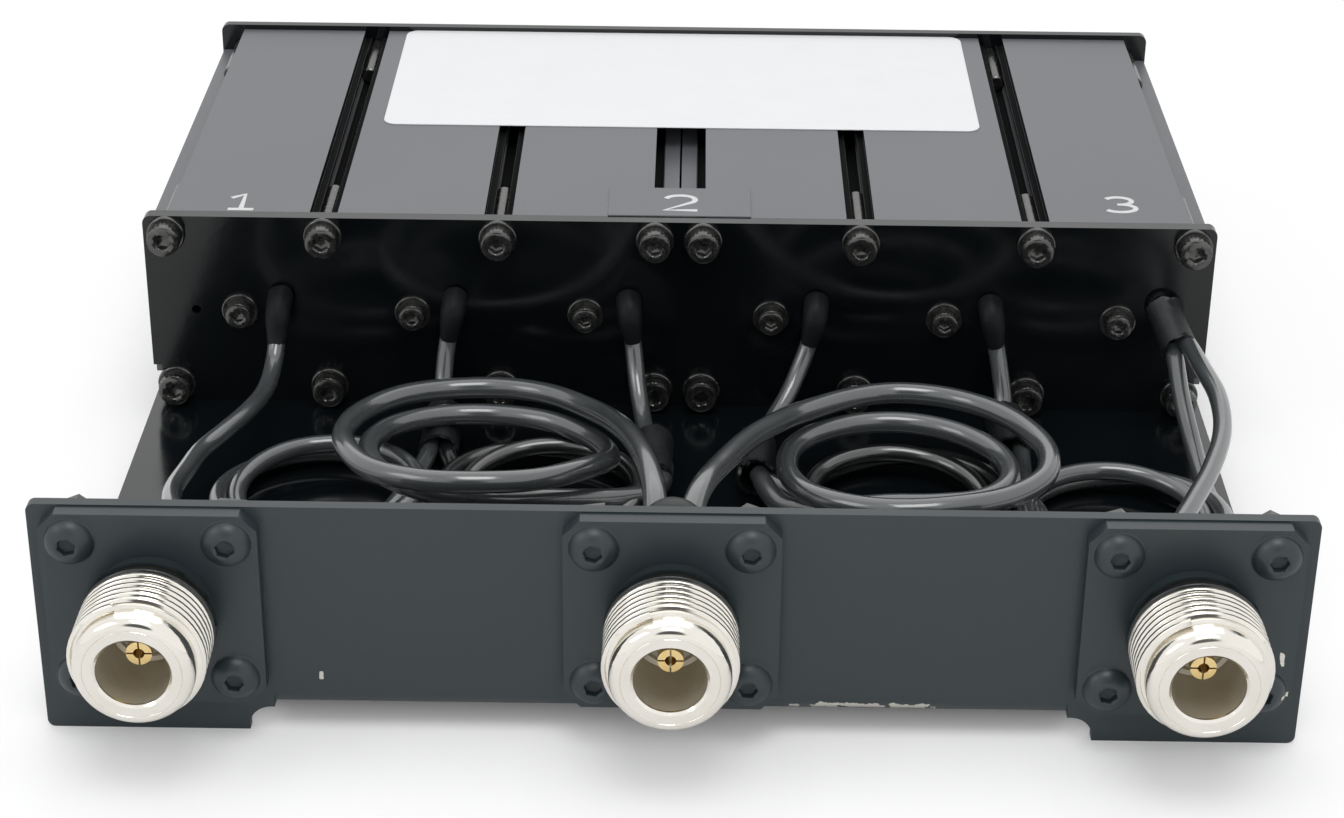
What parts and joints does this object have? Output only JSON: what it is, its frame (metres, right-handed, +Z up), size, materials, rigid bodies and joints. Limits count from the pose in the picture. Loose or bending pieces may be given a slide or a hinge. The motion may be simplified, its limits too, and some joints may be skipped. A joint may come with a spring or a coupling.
{
  "type": "mobile cavity duplexer",
  "caption": "Flat black cavity duplexer: threaded coaxial jacks on a folded tray, a coiled coaxial harness, extruded cavities between screwed plates, tuning screws behind.",
  "frame": {"origin": "centre of the overall box, on the table", "axes": "+X from the low port to the high port, +Y from the jacks to the tuning screws, +Z up"},
  "size_m": [0.15, 0.182, 0.0341],
  "materials": {
    "black_paint": "gloss black paint",
    "black_anodised": "satin black paint over extruded aluminium",
    "label_film": "satin white film",
    "marker_film": "satin black film",
    "nickel": "bright nickel plate over brass",
    "insulator": "satin fluoropolymer",
    "gold_contact": "bright gold plate",
    "heat_shrink": "satin heat-shrink tube",
    "black_steel": "black oxide",
    "brass": "turned brass",
    "slug_metal": "turned, satin",
    "copper_wire": "drawn copper wire",
    "cable_jacket": "gloss black jacket"
  },
  "bodies": {
    "housing": {"base_tray": "black_paint", "low_side_extrusion": "black_anodised", "high_side_extrusion": "black_anodised", "front_plate": "black_paint", "rear_plate": "black_paint", "blank_label": "label_film", "marker_strip": "marker_film", "jack_body_1": "nickel", "jack_body_2": "nickel", "jack_body_3": "nickel", "jack_insulator_1": "insulator", "jack_insulator_2": "insulator", "jack_insulator_3": "insulator", "jack_contact_1": "gold_contact", "jack_contact_2": "gold_contact", "jack_contact_3": "gold_contact", "jack_boots": "heat_shrink", "splice_sleeves": "heat_shrink", "plate_screws": "black_steel", "plate_washers": "black_steel", "resonator_screws": "black_steel", "resonator_washers": "black_steel", "flange_screws": "black_steel", "flange_nuts": "black_steel", "base_screws": "black_steel", "lock_nuts": "brass", "resonator_posts": "brass", "low_side_coils": "copper_wire", "high_side_coils": "copper_wire", "low_port_lead": "cable_jacket", "high_port_lead": "cable_jacket", "cavity_stub_2": "cable_jacket", "cavity_stub_3": "cable_jacket", "cavity_stub_4": "cable_jacket", "cavity_stub_5": "cable_jacket", "jumper_12_ends": "cable_jacket", "jumper_12_coil": "cable_jacket", "jumper_23_ends": "cable_jacket", "jumper_23_coil": "cable_jacket", "jumper_45_ends": "cable_jacket", "jumper_45_coil": "cable_jacket", "jumper_56_ends": "cable_jacket", "jumper_56_coil": "cable_jacket", "antenna_low_ends": "cable_jacket", "antenna_low_coil": "cable_jacket", "antenna_high_ends": "cable_jacket", "antenna_high_coil": "cable_jacket"},
    "slug_1": {"tuning_slug_1": "slug_metal"},
    "screw_1": {"tuning_screw_1": "brass"},
    "slug_2": {"tuning_slug_2": "slug_metal"},
    "screw_2": {"tuning_screw_2": "brass"},
    "slug_3": {"tuning_slug_3": "slug_metal"},
    "screw_3": {"tuning_screw_3": "brass"},
    "slug_4": {"tuning_slug_4": "slug_metal"},
    "screw_4": {"tuning_screw_4": "brass"},
    "slug_5": {"tuning_slug_5": "slug_metal"},
    "screw_5": {"tuning_screw_5": "brass"},
    "slug_6": {"tuning_slug_6": "slug_metal"},
    "screw_6": {"tuning_screw_6": "brass"}
  },
  "joints": [
    {"name": "tuning_travel_1", "type": "slide", "parent": "housing", "child": "slug_1", "axis": [0, -1, 0], "range_m": [-0.00225, 0.00225]},
    {"name": "tuning_turn_1", "type": "hinge", "parent": "slug_1", "child": "screw_1", "pos_m": [-0.06187, 0.07, 0.019], "axis": [0, -1, 0], "continuous": true},
    {"name": "tuning_travel_2", "type": "slide", "parent": "housing", "child": "slug_2", "axis": [0, -1, 0], "range_m": [-0.00225, 0.00225]},
    {"name": "tuning_turn_2", "type": "hinge", "parent": "slug_2", "child": "screw_2", "pos_m": [-0.03748, 0.07, 0.019], "axis": [0, -1, 0], "continuous": true},
    {"name": "tuning_travel_3", "type": "slide", "parent": "housing", "child": "slug_3", "axis": [0, -1, 0], "range_m": [-0.00225, 0.00225]},
    {"name": "tuning_turn_3", "type": "hinge", "parent": "slug_3", "child": "screw_3", "pos_m": [-0.01307, 0.07, 0.019], "axis": [0, -1, 0], "continuous": true},
    {"name": "tuning_travel_4", "type": "slide", "parent": "housing", "child": "slug_4", "axis": [0, -1, 0], "range_m": [-0.00225, 0.00225]},
    {"name": "tuning_turn_4", "type": "hinge", "parent": "slug_4", "child": "screw_4", "pos_m": [0.01307, 0.07, 0.019], "axis": [0, -1, 0], "continuous": true},
    {"name": "tuning_travel_5", "type": "slide", "parent": "housing", "child": "slug_5", "axis": [0, -1, 0], "range_m": [-0.00225, 0.00225]},
    {"name": "tuning_turn_5", "type": "hinge", "parent": "slug_5", "child": "screw_5", "pos_m": [0.03748, 0.07, 0.019], "axis": [0, -1, 0], "continuous": true},
    {"name": "tuning_travel_6", "type": "slide", "parent": "housing", "child": "slug_6", "axis": [0, -1, 0], "range_m": [-0.00225, 0.00225]},
    {"name": "tuning_turn_6", "type": "hinge", "parent": "slug_6", "child": "screw_6", "pos_m": [0.06187, 0.07, 0.019], "axis": [0, -1, 0], "continuous": true}
  ],
  "couplings": [
    {"joint": "tuning_turn_1", "follows": "tuning_travel_1", "rad_per_m": 8377.6},
    {"joint": "tuning_turn_2", "follows": "tuning_travel_2", "rad_per_m": 8377.6},
    {"joint": "tuning_turn_3", "follows": "tuning_travel_3", "rad_per_m": 8377.6},
    {"joint": "tuning_turn_4", "follows": "tuning_travel_4", "rad_per_m": 8377.6},
    {"joint": "tuning_turn_5", "follows": "tuning_travel_5", "rad_per_m": 8377.6},
    {"joint": "tuning_turn_6", "follows": "tuning_travel_6", "rad_per_m": 8377.6}
  ]
}
